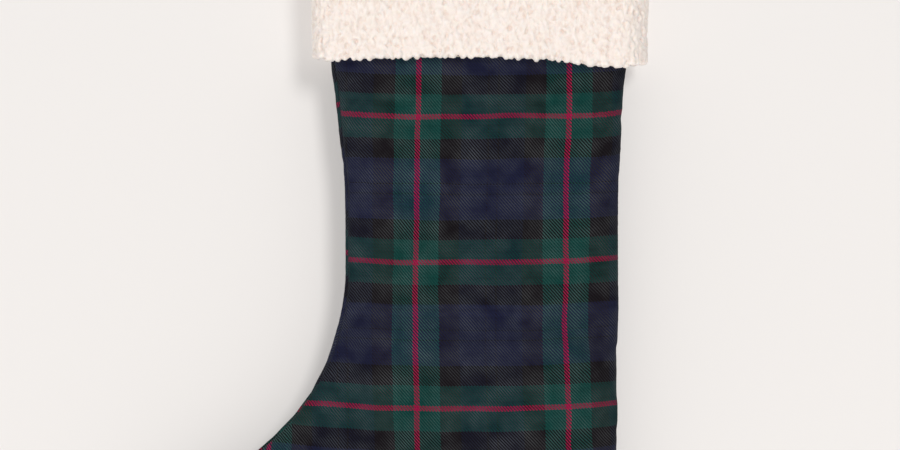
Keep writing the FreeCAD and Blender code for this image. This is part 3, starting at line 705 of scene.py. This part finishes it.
class CuffShape:
    """The cuff's skin as a strip: s runs along the hem, face, rim and into the mouth, a runs round it."""

    def __init__(self, side):
        self.side = side
        half, depth, corner = CUFF_HALF - 1.6, CUFF_DEPTH - 1.9, CUFF_ROUND - 1.5
        # Half of a rounded rectangle, from the heel side to the toe side
        run = []
        for start, end, kind in (((half, 0), (half, depth - corner), "line"),
                                 ((half - corner, depth - corner), 0, "arc"),
                                 ((half - corner, depth), (corner - half, depth), "line"),
                                 ((corner - half, depth - corner), 90, "arc"),
                                 ((-half, depth - corner), (-half, 0), "line")):
            if kind == "line":
                count = max(2, int(math.dist(start, end) / 0.5))
                t = np.linspace(0, 1, count, endpoint=False)[:, None]
                run.append(np.array(start) + (np.array(end) - start) * t)
            else:
                angle = np.radians(np.linspace(end, end + 90, 60, endpoint=False))
                run.append(np.array(start) + corner * np.stack((np.cos(angle), np.sin(angle)), 1))
        self.ring = np.concatenate(run + [np.array([(-half, 0.0)])])
        self.around = distances(self.ring)
        self.out = right_of(self.ring, self.around)
        # The section from the hem's inner lip to the inside of the mouth: how far in, and height
        top, hem = CUFF_TOP_Z - 1.2, CUFF_HEM_Z + 1.2
        section = [(4.2, hem + 4), (3.6, hem + 1.2), (2.2, hem + 0.1), (0.8, hem + 0.6), (0.1, hem + 2.2),
                   (0, hem + 5), (0, top - 6), (0.5, top - 3), (1.8, top - 0.9), (4, top), (9.5, top - 0.2),
                   (11.8, top - 1.2), (13.0, top - 3.0), (13.3, top - 5.5)]
        self.section = np.array(section)
        self.down = distances(self.section)
        self.lean = -right_of(self.section, self.down)

    def place(self, a, s, seam_gap=0.35):
        """Points and outward normals at distances round (a) and along the section (s)."""
        x, y = sample(a, self.around, self.ring).T
        out = unit(sample(a, self.around, self.out))
        inset, z = sample(s, self.down, self.section).T
        lean = unit(sample(s, self.down, self.lean))
        slack = waves(a * 0.02, s * 0.02, 4.0 + self.side, 2)
        # The lower part of the cuff sags, and its hem hangs in shallow curves
        drop = smooth(-z, 120, -CUFF_HEM_Z)
        inset = inset + slack * drop
        if self.side < 0:
            hem = 1.3 * bell(x, -9.5, 45) - 5.0 * bell(x, 83.6, 28)
        else:
            hem = bell(x, 10, 40) - 2.4 * bell(x, 108, 22)
        z = z + drop * (0.9 + hem + 2.0 * bell(x, -109, 7) + 0.4 * slack)
        x = x - np.sign(x) * drop * 1.4 * smooth(np.abs(x), 80, 108)
        # Towards the inside the strip is let out in depth; on the two narrow sides it is drawn further in
        deeper = np.where(inset > 8, (inset - 8) * 0.12, 0)
        narrower = np.where(np.abs(out[:, 0]) > 0.7, 1.25, 1)
        point = np.stack((LEG_AXIS + x - out[:, 0] * inset * narrower,
                          self.side * np.maximum(y - out[:, 1] * inset + deeper, seam_gap), z), 1)
        normal = np.stack((-out[:, 0] * lean[:, 0], -self.side * out[:, 1] * lean[:, 0], lean[:, 1]), 1)
        return point, normal


def scatter(width, height, gap, drop):
    """Jittered points over a rectangle, the gap apart across it and the drop apart up it."""
    rows = int(height / drop)
    spots = staggered(0, width, gap, (np.arange(rows) + 0.5) * height / rows)
    return spots + rng.uniform(-0.36, 0.36, spots.shape) * (gap, drop)


def tube_faces(rings, sides):
    """The faces of a closed tube whose points go round ring after ring."""
    faces = []
    for ring in range(rings - 1):
        for k in range(sides):
            a, b = ring * sides + k, ring * sides + (k + 1) % sides
            faces.append((a, b, b + sides, a + sides))
    faces.append(tuple(range(sides))[::-1])
    faces.append(tuple(range((rings - 1) * sides, rings * sides)))
    return faces


def grid_faces(rows, columns):
    """The faces of a grid whose points go along row after row."""
    corners = [row * columns + column for row in range(rows - 1) for column in range(columns - 1)]
    return [(k, k + 1, k + columns + 1, k + columns) for k in corners]


def lay_locks(shape, spots, length, thick, proud=0.0):
    """Short wavy locks of pile that lie over each other down the cuff, one at each spot, as tubes."""
    count, rings, sides = len(spots), 7, 6
    t = np.linspace(0, 1, rings)[None, :]
    heading = rng.normal(0, 0.45, count)[:, None]
    size = rng.uniform(0.7, 1.3, count)[:, None]
    wave = rng.uniform(-0.6, 0.6, count)[:, None] * np.sin(2 * math.pi * t)
    lift = proud + rng.uniform(-0.25, 0.75, count)[:, None]
    along = (t - 0.4) * length * size
    a = spots[:, :1] + np.sin(heading) * along + np.cos(heading) * wave
    s = spots[:, 1:] - np.cos(heading) * along + np.sin(heading) * wave
    a = np.clip(a, 0.3, shape.around[-1] - 0.3)
    s = np.clip(s, 0.6, shape.down[-1] - 0.6)
    place, normal = shape.place(a.ravel(), s.ravel(), 0.15)
    rise = lift + 0.8 * np.sin(math.pi * t) - 0.45 * t
    path = (place + normal * rise.reshape(-1, 1)).reshape(count, rings, 3)
    normal = normal.reshape(count, rings, 3)
    ahead = unit(np.gradient(path, axis=1))
    side = unit(np.cross(ahead, normal))
    up = np.cross(side, ahead)
    tube = thick * rng.uniform(0.8, 1.2, count)[:, None, None]
    taper = np.array([0.5, 0.9, 1.1, 1.15, 1.1, 0.95, 0.6])[None, :, None] * tube
    verts = []
    for k in range(sides):
        angle = 2 * math.pi * k / sides
        verts.append(path + (side * math.cos(angle) + up * math.sin(angle)) * taper)
    verts = np.stack(verts, 2).reshape(-1, 3)
    base = np.arange(count)[:, None] * rings * sides
    return verts, [face for corner in tube_faces(rings, sides) for face in (base + corner).tolist()]


def slab(shape, inner, outer, step):
    """The fleece's backing: a closed skin between two depths below its surface."""
    width, height = shape.around[-1], shape.down[-1]
    columns, rows = int(width / step), int(height / step)
    a, s = np.meshgrid(np.linspace(0, width, columns), np.linspace(0, height, rows))
    point, normal = shape.place(a.ravel(), s.ravel())
    verts = np.concatenate((point - normal * outer, point - normal * inner))
    below = rows * columns
    faces = []
    for face in grid_faces(rows, columns):
        faces += [face, tuple(below + k for k in face[::-1])]
    grid = np.arange(below).reshape(rows, columns)
    edge = np.concatenate((grid[0], grid[1:, -1], grid[-1, -2::-1], grid[-2:0:-1, 0])).tolist()
    for k, here in enumerate(edge):
        there = edge[(k + 1) % len(edge)]
        faces.append((there, here, below + here, below + there))
    return verts, faces


def mark_crevices(cuff, shape):
    """Stores how high each point of the pile stands above the fleece's backing, in millimetres."""
    a, s = np.meshgrid(np.arange(0, shape.around[-1], 1.5), np.arange(0, shape.down[-1], 1.5))
    base, normal = shape.place(a.ravel(), s.ravel())
    tree = search_tree(base)
    points = coordinates(cuff.data)
    index = np.array([tree.find(point)[1] for point in points.tolist()])
    height = ((points - base[index]) * normal[index]).sum(1)
    layer = cuff.data.attributes.new("pile", "FLOAT", "POINT")
    layer.data.foreach_set("value", height.astype(np.float32))


# The pile's locks over the cuff, and the thicker ones along its hem, in millimetres
PILE_GAP, PILE_DROP = 2.4, 3.3
LOCK_LENGTH, LOCK_THICK = 5.4, 0.9
TIP_LENGTH, TIP_THICK, TIP_PROUD = 3.2, 1.55, 0.75
TIP_GAP, TIP_DROP = 4.7, 6.2
VOXEL, QUICK_VOXEL = 0.7, 1.2
# The ratio that thins the fused skin is this over its number of faces
CUFF_FACES = 96000


def make_cuff(word, side):
    """One half of the cuff: a backing covered in locks of pile, fused into one lumpy skin."""
    shape = CuffShape(side)
    width, height = shape.around[-1], shape.down[-1]
    spots = scatter(width, height, PILE_GAP, PILE_DROP)
    spots = spots[(spots[:, 0] > 0.4) & (spots[:, 0] < width - 0.4)]
    seam = np.arange(2, height - 1, 3.0)
    sides = [np.stack((np.full(len(seam), a), seam), 1) for a in (0.5, width - 0.5)]
    spots = np.concatenate([spots] + sides)
    spots[:, 1] = np.clip(spots[:, 1], 1.0, height - 1.0)
    locks = lay_locks(shape, spots, LOCK_LENGTH, LOCK_THICK)
    along_hem = np.arange(2.5, width - 2.5, TIP_GAP)
    fringe = np.stack((along_hem, np.full(len(along_hem), TIP_DROP)), 1)
    fringe += rng.uniform(-0.5, 0.5, fringe.shape) * (3.4, 2.0)
    tips = lay_locks(shape, fringe, TIP_LENGTH, TIP_THICK, TIP_PROUD)
    cuff = gather(f"fleece_cuff_{word}", (locks, tips, slab(shape, 3.0, 0.2, 2.0)))
    fuse = cuff.modifiers.new("fuse", "REMESH")
    fuse.mode = "VOXEL"
    fuse.voxel_size = VOXEL * MM
    fuse.adaptivity = 0
    ease = cuff.modifiers.new("ease", "SMOOTH")
    ease.factor = 0.5
    ease.iterations = 1
    settle(cuff)
    thin = cuff.modifiers.new("thin", "DECIMATE")
    thin.ratio = CUFF_FACES / len(cuff.data.polygons)
    settle(cuff)
    mark_crevices(cuff, shape)
    cuff.data.materials.append(FLEECE)
    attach(cuff, "stocking")
    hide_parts(f"cuff_{word}")


def fleece(name):
    """Cream sherpa pile: soft, a little translucent, with fine curly fibres."""
    shader = Shader(name, Roughness=0.9, Sheen_Weight=0.35, Sheen_Roughness=0.6, Specular_IOR_Level=0.15,
                    Subsurface_Weight=0.25, Subsurface_Scale=0.0015)
    shader.bsdf.inputs["Subsurface Radius"].default_value = (1.0, 0.75, 0.55)
    place = shader.node("TexCoord").outputs["Object"]
    fibre = shader.noise(place, 1500, 4, 2.5)
    clump = shader.noise(place, 260, 3, 1.2)
    # Painted shade: darker streaks and specks where the pile parts between its locks
    stretch = shader.node("Mapping", {"Vector": place, "Scale": (1, 1, 0.5)})
    parted = shader.noise(stretch.outputs[0], 420, 2, 0.6)
    painted_parting_shade = shader.ramp(parted, [(0.36, (0.935, 0.9, 0.88)), (0.47, (0.985, 0.975, 0.97)),
                                   (0.7, (1, 1, 1))])
    patch = shader.noise(place, 22, 2)
    tone = shader.times(shader.fit(clump, 0.1, 0.92), shader.fit(fibre, 0.12, 0.93))
    tint = shader.mix(patch, (0.90, 0.842, 0.80, 1), (0.905, 0.85, 0.81, 1))
    # Painted shade: the pile darkens the closer it lies to the backing, in the crevices between the locks
    pile = shader.node("Attribute", attribute_name="pile").outputs["Fac"]
    painted_crevice_shade = shader.ramp(shader.fit(pile, 0.4, 0.15),
                       [(0.0, (0.87, 0.78, 0.74)), (0.4, (0.955, 0.92, 0.9)), (1.0, (1, 1, 1))])
    tint = shader.mix(1.0, painted_crevice_shade, tint, "MULTIPLY")
    tint = shader.mix(1.0, painted_parting_shade, tint, "MULTIPLY")
    shader.shade(tone, tint)
    shader.bump(shader.fit(fibre, 0.5, clump), 0.5, 0.0005)
    return shader.material


def make_facing(word, side):
    """The woven backing inside one half of the cuff, hanging from the mouth."""
    half, depth, corner = 102.7, 15.7, 12.6
    start = [(half, 0.4), (half, depth - corner)]
    angle = np.radians(np.linspace(0, 90, 16))
    bend = np.stack((half - corner + corner * np.cos(angle), depth - corner + corner * np.sin(angle)), 1)
    ring = np.concatenate((start, bend[1:]))
    ring = np.concatenate((ring, ring[::-1] * (-1, 1)))
    run = distances(ring)
    rows, columns = 40, 100
    across = np.linspace(0, run[-1], columns)
    points, flat = [], []
    for z in np.linspace(FACING_TOP, FACING_HEM, rows):
        for a, (x, y) in zip(across, sample(across, run, ring)):
            wave = 0.5 * noise.noise(Vector((a * 0.03, z * 0.02, 6.0 * side))) * smooth(y, 8, 15)
            points.append((LEG_AXIS + x, side * (y + wave), z))
            flat.append((a, z))
    points, flat = np.array(points), np.array(flat)
    faces = facing_out(points, grid_faces(rows, columns), side)
    facing = mesh_object(f"facing_{word}", points, faces, flat)
    thicken(facing, COTTON_THICK)
    facing.data.materials.append(BACKING)
    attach(facing, "stocking")
    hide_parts(f"cuff_facing_{word}")


FACING_TOP, FACING_HEM = -71.5, -178.6
BACKING = plain_weave("facing_cotton", (0.80, 0.74, 0.65), 0.4)
FLEECE = fleece("sherpa_fleece")
for side, word in ((-1, "front"), (1, "back")):
    make_cuff(word, side)
    make_facing(word, side)


# The hanging loop: one folded strip, out of the mouth, round the eye and back into the mouth
EYE_R, EYE_POINT, STRIP_HALF, STRIP_THICK = 8.0, -54.0, 7.0, 1.9
TAIL_END, HINGE_Z = -95.5, -59.5


def strip_path(offset, step=0.8):
    """The line of one face of the strip, the offset out from the eye, from tail to tail."""
    lean = math.asin(EYE_R / -EYE_POINT)
    reach = EYE_R + offset
    half = offset + 0.06
    knee = half / math.tan(lean) - reach / math.sin(lean)
    arc_points = [(reach * math.cos(t), reach * math.sin(t))
                  for t in np.linspace(-lean, math.pi + lean, 40)]
    corners = [(half, TAIL_END), (half, HINGE_Z - 3), (half, knee - 2.5), (half + 0.12, knee + 1)]
    line = np.array(corners + arc_points + [(-x, z) for x, z in reversed(corners)])
    run = distances(line)
    at = np.linspace(0, run[-1], int(run[-1] / step))
    return sample(at, run, line), at


def make_strip():
    """The strip as a solid ribbon with rounded edges, and the length of its middle line."""
    centre, at = strip_path(STRIP_THICK / 2 + 0.1)
    out = right_of(centre, at)
    half = STRIP_THICK / 2
    rise = [(STRIP_HALF, 0.0), (6.9, 0.5), (6.45, 0.86), (5.4, 0.98), (3.6, 0.94), (1.8, 0.97)]
    upper = [(-y, t * half) for y, t in rise] + [(0, half)] + [(y, t * half) for y, t in reversed(rise)]
    section = upper + [(y, -t) for y, t in reversed(upper[1:-1])]
    points, pattern = [], []
    for place, normal, distance in zip(centre, out, at):
        wave = 0.18 * noise.noise(Vector((distance * 0.09, 3.3, 0.7)))
        for y, t in section:
            edge = 0.16 * noise.noise(Vector((distance * 0.16, y * 0.4, 1.9))) * (abs(y) > 5)
            points.append((place[0] + normal[0] * t, y + wave + edge, place[1] + normal[1] * t))
            turn = (2 * STRIP_HALF - abs(y)) * (1 if y > 0 else -1) if t < 0 else y
            pattern.append((turn - 2 * STRIP_HALF, distance * 0.98 - 402.0))
    faces = tube_faces(len(centre), len(section))
    strip = mesh_object("loop_strip_cloth", np.array(points), faces, np.array(pattern))
    soft = strip.modifiers.new("smooth", "SUBSURF")
    soft.levels = soft.render_levels = 1
    settle(strip)
    return strip, at[-1]


def capsule(points, radius, sides=6):
    """A thread along a short line of points, with rounded ends."""
    points = np.asarray(points, float)
    ahead = unit(np.gradient(points, axis=0))
    helper = np.where(np.abs(ahead[:, 1:2]) < 0.9, (0.0, 1.0, 0.0), (1.0, 0.0, 0.0))
    first = unit(np.cross(ahead, helper))
    second = np.cross(ahead, first)
    verts = []
    for k, point in enumerate(points):
        swell = radius * (0.55 if k in (0, len(points) - 1) else 1.0)
        for side in range(sides):
            angle = 2 * math.pi * side / sides
            verts.append(point + swell * (first[k] * math.cos(angle) + second[k] * math.sin(angle)))
    return verts, tube_faces(len(points), sides)


STITCH_ROW, STITCH_LENGTH, STITCH_STEP, THREAD_R = 5.1, 2.1, 2.75, 0.24


def make_stitches():
    """The topstitching: a row of separate stitches along both edges of both faces of the strip."""
    pieces = []
    for offset, reach in ((STRIP_THICK + 0.2, 1), (0.1, -1)):
        line, at = strip_path(offset)
        out = right_of(line, at)
        # The outer rows run down to the root, the inner ones to where the strip's two runs part
        low = HINGE_Z - 1.5 if reach > 0 else -50.5
        for y in (-STITCH_ROW, STITCH_ROW):
            start = 1.0
            while start < at[-1] - 3:
                ends = np.linspace(start, start + STITCH_LENGTH, 4)
                x, z = sample(ends, at, line).T
                nx, nz = sample(ends, at, out).T
                if z.min() > low:
                    rise = reach * np.array((-0.12, 0.1, 0.1, -0.12))
                    points = np.stack((x + nx * rise, np.full(4, y), z + nz * rise), 1)
                    pieces.append(capsule(points, THREAD_R))
                start += STITCH_STEP
    return gather("loop_stitches", pieces)


TARTAN_STRIP = tartan("tartan_loop", -14.0, -340.0)
THREAD_DARK = thread("dark_thread", (0.013, 0.022, 0.026))
THREAD_CREAM = thread("cream_thread", (0.72, 0.66, 0.56))
strip, STRIP_LENGTH = make_strip()
strip.data.materials.append(TARTAN_STRIP)
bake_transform(strip)
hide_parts("loop_strip", "loop_tail")
stitches = make_stitches()
stitches.data.materials.append(THREAD_DARK)
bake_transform(stitches)
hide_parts("loop_edge_thread")
for name, material in (("panel_seam_thread", THREAD_DARK), ("loop_tack_thread", THREAD_DARK),
                       ("lining_seam_thread", THREAD_CREAM), ("mouth_seam_thread", THREAD_CREAM),
                       ("cuff_hem_thread", THREAD_CREAM), ("cuff_side_seam_thread", THREAD_CREAM)):
    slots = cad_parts[name].data.materials
    slots.clear()
    slots.append(material)


# Light, floor, wall and camera
FLOOR_Z = -0.66
WALL_GLOW, FLOOR_GLOW = 0.09, 0.56
PALE = (0.888, 0.855, 0.831, 1)


def staged_plane(name, points, material):
    """A flat four-cornered piece of the surroundings."""
    mesh = bpy.data.meshes.new(name)
    mesh.from_pydata(points, [], [(0, 1, 2, 3)])
    mesh.materials.append(material)
    obj = bpy.data.objects.new(name, mesh)
    scene.collection.objects.link(obj)
    return obj


def backdrop_paper(name, scale, low, high):
    """Matt paper whose tone wanders a little."""
    shader = Shader(name, Roughness=0.95, Specular_IOR_Level=0.0)
    cloud = shader.noise(shader.node("TexCoord").outputs["Object"], scale, 2)
    shader.colour(shader.mix(cloud, low, high))
    return shader


def add_glow(shader, strength):
    """The backdrop glows a little, so that shadows on it stay pale."""
    glow = shader.node("Emission", {"Color": PALE, "Strength": strength})
    return shader.node("AddShader", {0: shader.bsdf.outputs[0], 1: glow.outputs[0]}).outputs[0]


paper = backdrop_paper("pale_paper", 3.0, (0.59, 0.575, 0.565, 1), (0.6, 0.585, 0.575, 1))
wall_paper = backdrop_paper("wall_paper", 2.0, (0.688, 0.675, 0.668, 1), (0.698, 0.685, 0.678, 1))
paper.surface(add_glow(paper, FLOOR_GLOW))
# The wall is clear from behind
behind = wall_paper.node("NewGeometry").outputs["Backfacing"]
clear = wall_paper.node("BsdfTransparent").outputs[0]
shown = {0: behind, 1: add_glow(wall_paper, WALL_GLOW), 2: clear}
wall_paper.surface(wall_paper.node("MixShader", shown).outputs[0])

WALL_Y = 0.029
FLOOR_HALF, WALL_HALF, WALL_TOP = 6, 4, 3
SQUARE = ((-1, -1), (1, -1), (1, 1), (-1, 1))
staged_plane("floor", [(x * FLOOR_HALF, y * FLOOR_HALF, FLOOR_Z) for x, y in SQUARE], paper.material)
wall = staged_plane("wall", [(x * WALL_HALF, WALL_Y, WALL_TOP if z > 0 else FLOOR_Z) for x, z in SQUARE],
                    wall_paper.material)
# The wall neither lights the stocking nor shades it from the lamps behind
wall.visible_diffuse = False
wall.visible_glossy = False
wall.visible_shadow = False

scene.view_settings.view_transform = "Standard"
world = bpy.data.worlds.new("studio")
scene.world = world
world.use_nodes = True
backdrop = world.node_tree.nodes
light = backdrop["Background"]
light.inputs["Color"].default_value = (1.0, 0.985, 0.965, 1)
light.inputs["Strength"].default_value = 0.255
# What shows past the floor's edge is as pale as the floor
seen = backdrop.new("ShaderNodeBackground")
seen.inputs["Color"].default_value = PALE
either = backdrop.new("ShaderNodeMixShader")
link = world.node_tree.links.new
link(backdrop.new("ShaderNodeLightPath").outputs["Is Camera Ray"], either.inputs[0])
link(light.outputs[0], either.inputs[1])
link(seen.outputs[0], either.inputs[2])
link(either.outputs[0], backdrop["World Output"].inputs["Surface"])


def lamp(name, kind, power, heading, colour, place=(0, 0, 0)):
    """Adds a light that shines along its heading."""
    data = bpy.data.lights.new(name, kind)
    data.energy = power
    data.color = colour
    obj = bpy.data.objects.new(name, data)
    obj.location = place
    obj.rotation_euler = Vector(heading).to_track_quat("-Z", "Y").to_euler()
    scene.collection.objects.link(obj)
    return data


# A broad soft key from the upper right in front, a shadowless fill from the left, and two dim lamps behind
lamp("key", "SUN", 1.09, (-0.33, 0.88, -0.33), (1.0, 0.985, 0.965)).angle = math.radians(16)
fill = lamp("fill", "SUN", 1.35, (0.5, 0.82, -0.12), (1.0, 0.99, 0.98))
fill.angle = math.radians(40)
fill.use_shadow = False
AIM = Vector((-0.1, 0, -0.3))
for name, place, power in (("back_left", (-1.4, 2.0, 0.9), 20), ("back_right", (1.8, 1.6, 0.6), 14)):
    lamp(name, "AREA", power, AIM - Vector(place), (1.0, 0.98, 0.96), place).size = 1.2

# The view is 585 mm wide at the stocking, from straight in front with a long lens
VIEW_WIDTH, VIEW_DISTANCE = 0.585, 2.6
camera_data = bpy.data.cameras.new("camera")
camera_data.sensor_width = 36
camera_data.lens = camera_data.sensor_width * VIEW_DISTANCE / VIEW_WIDTH
camera_data.clip_end = 50
camera = bpy.data.objects.new("camera", camera_data)
camera.location = (-0.1051, -VIEW_DISTANCE, -0.2883)
camera.rotation_euler = (math.pi / 2, 0, 0)
scene.collection.objects.link(camera)
scene.camera = camera
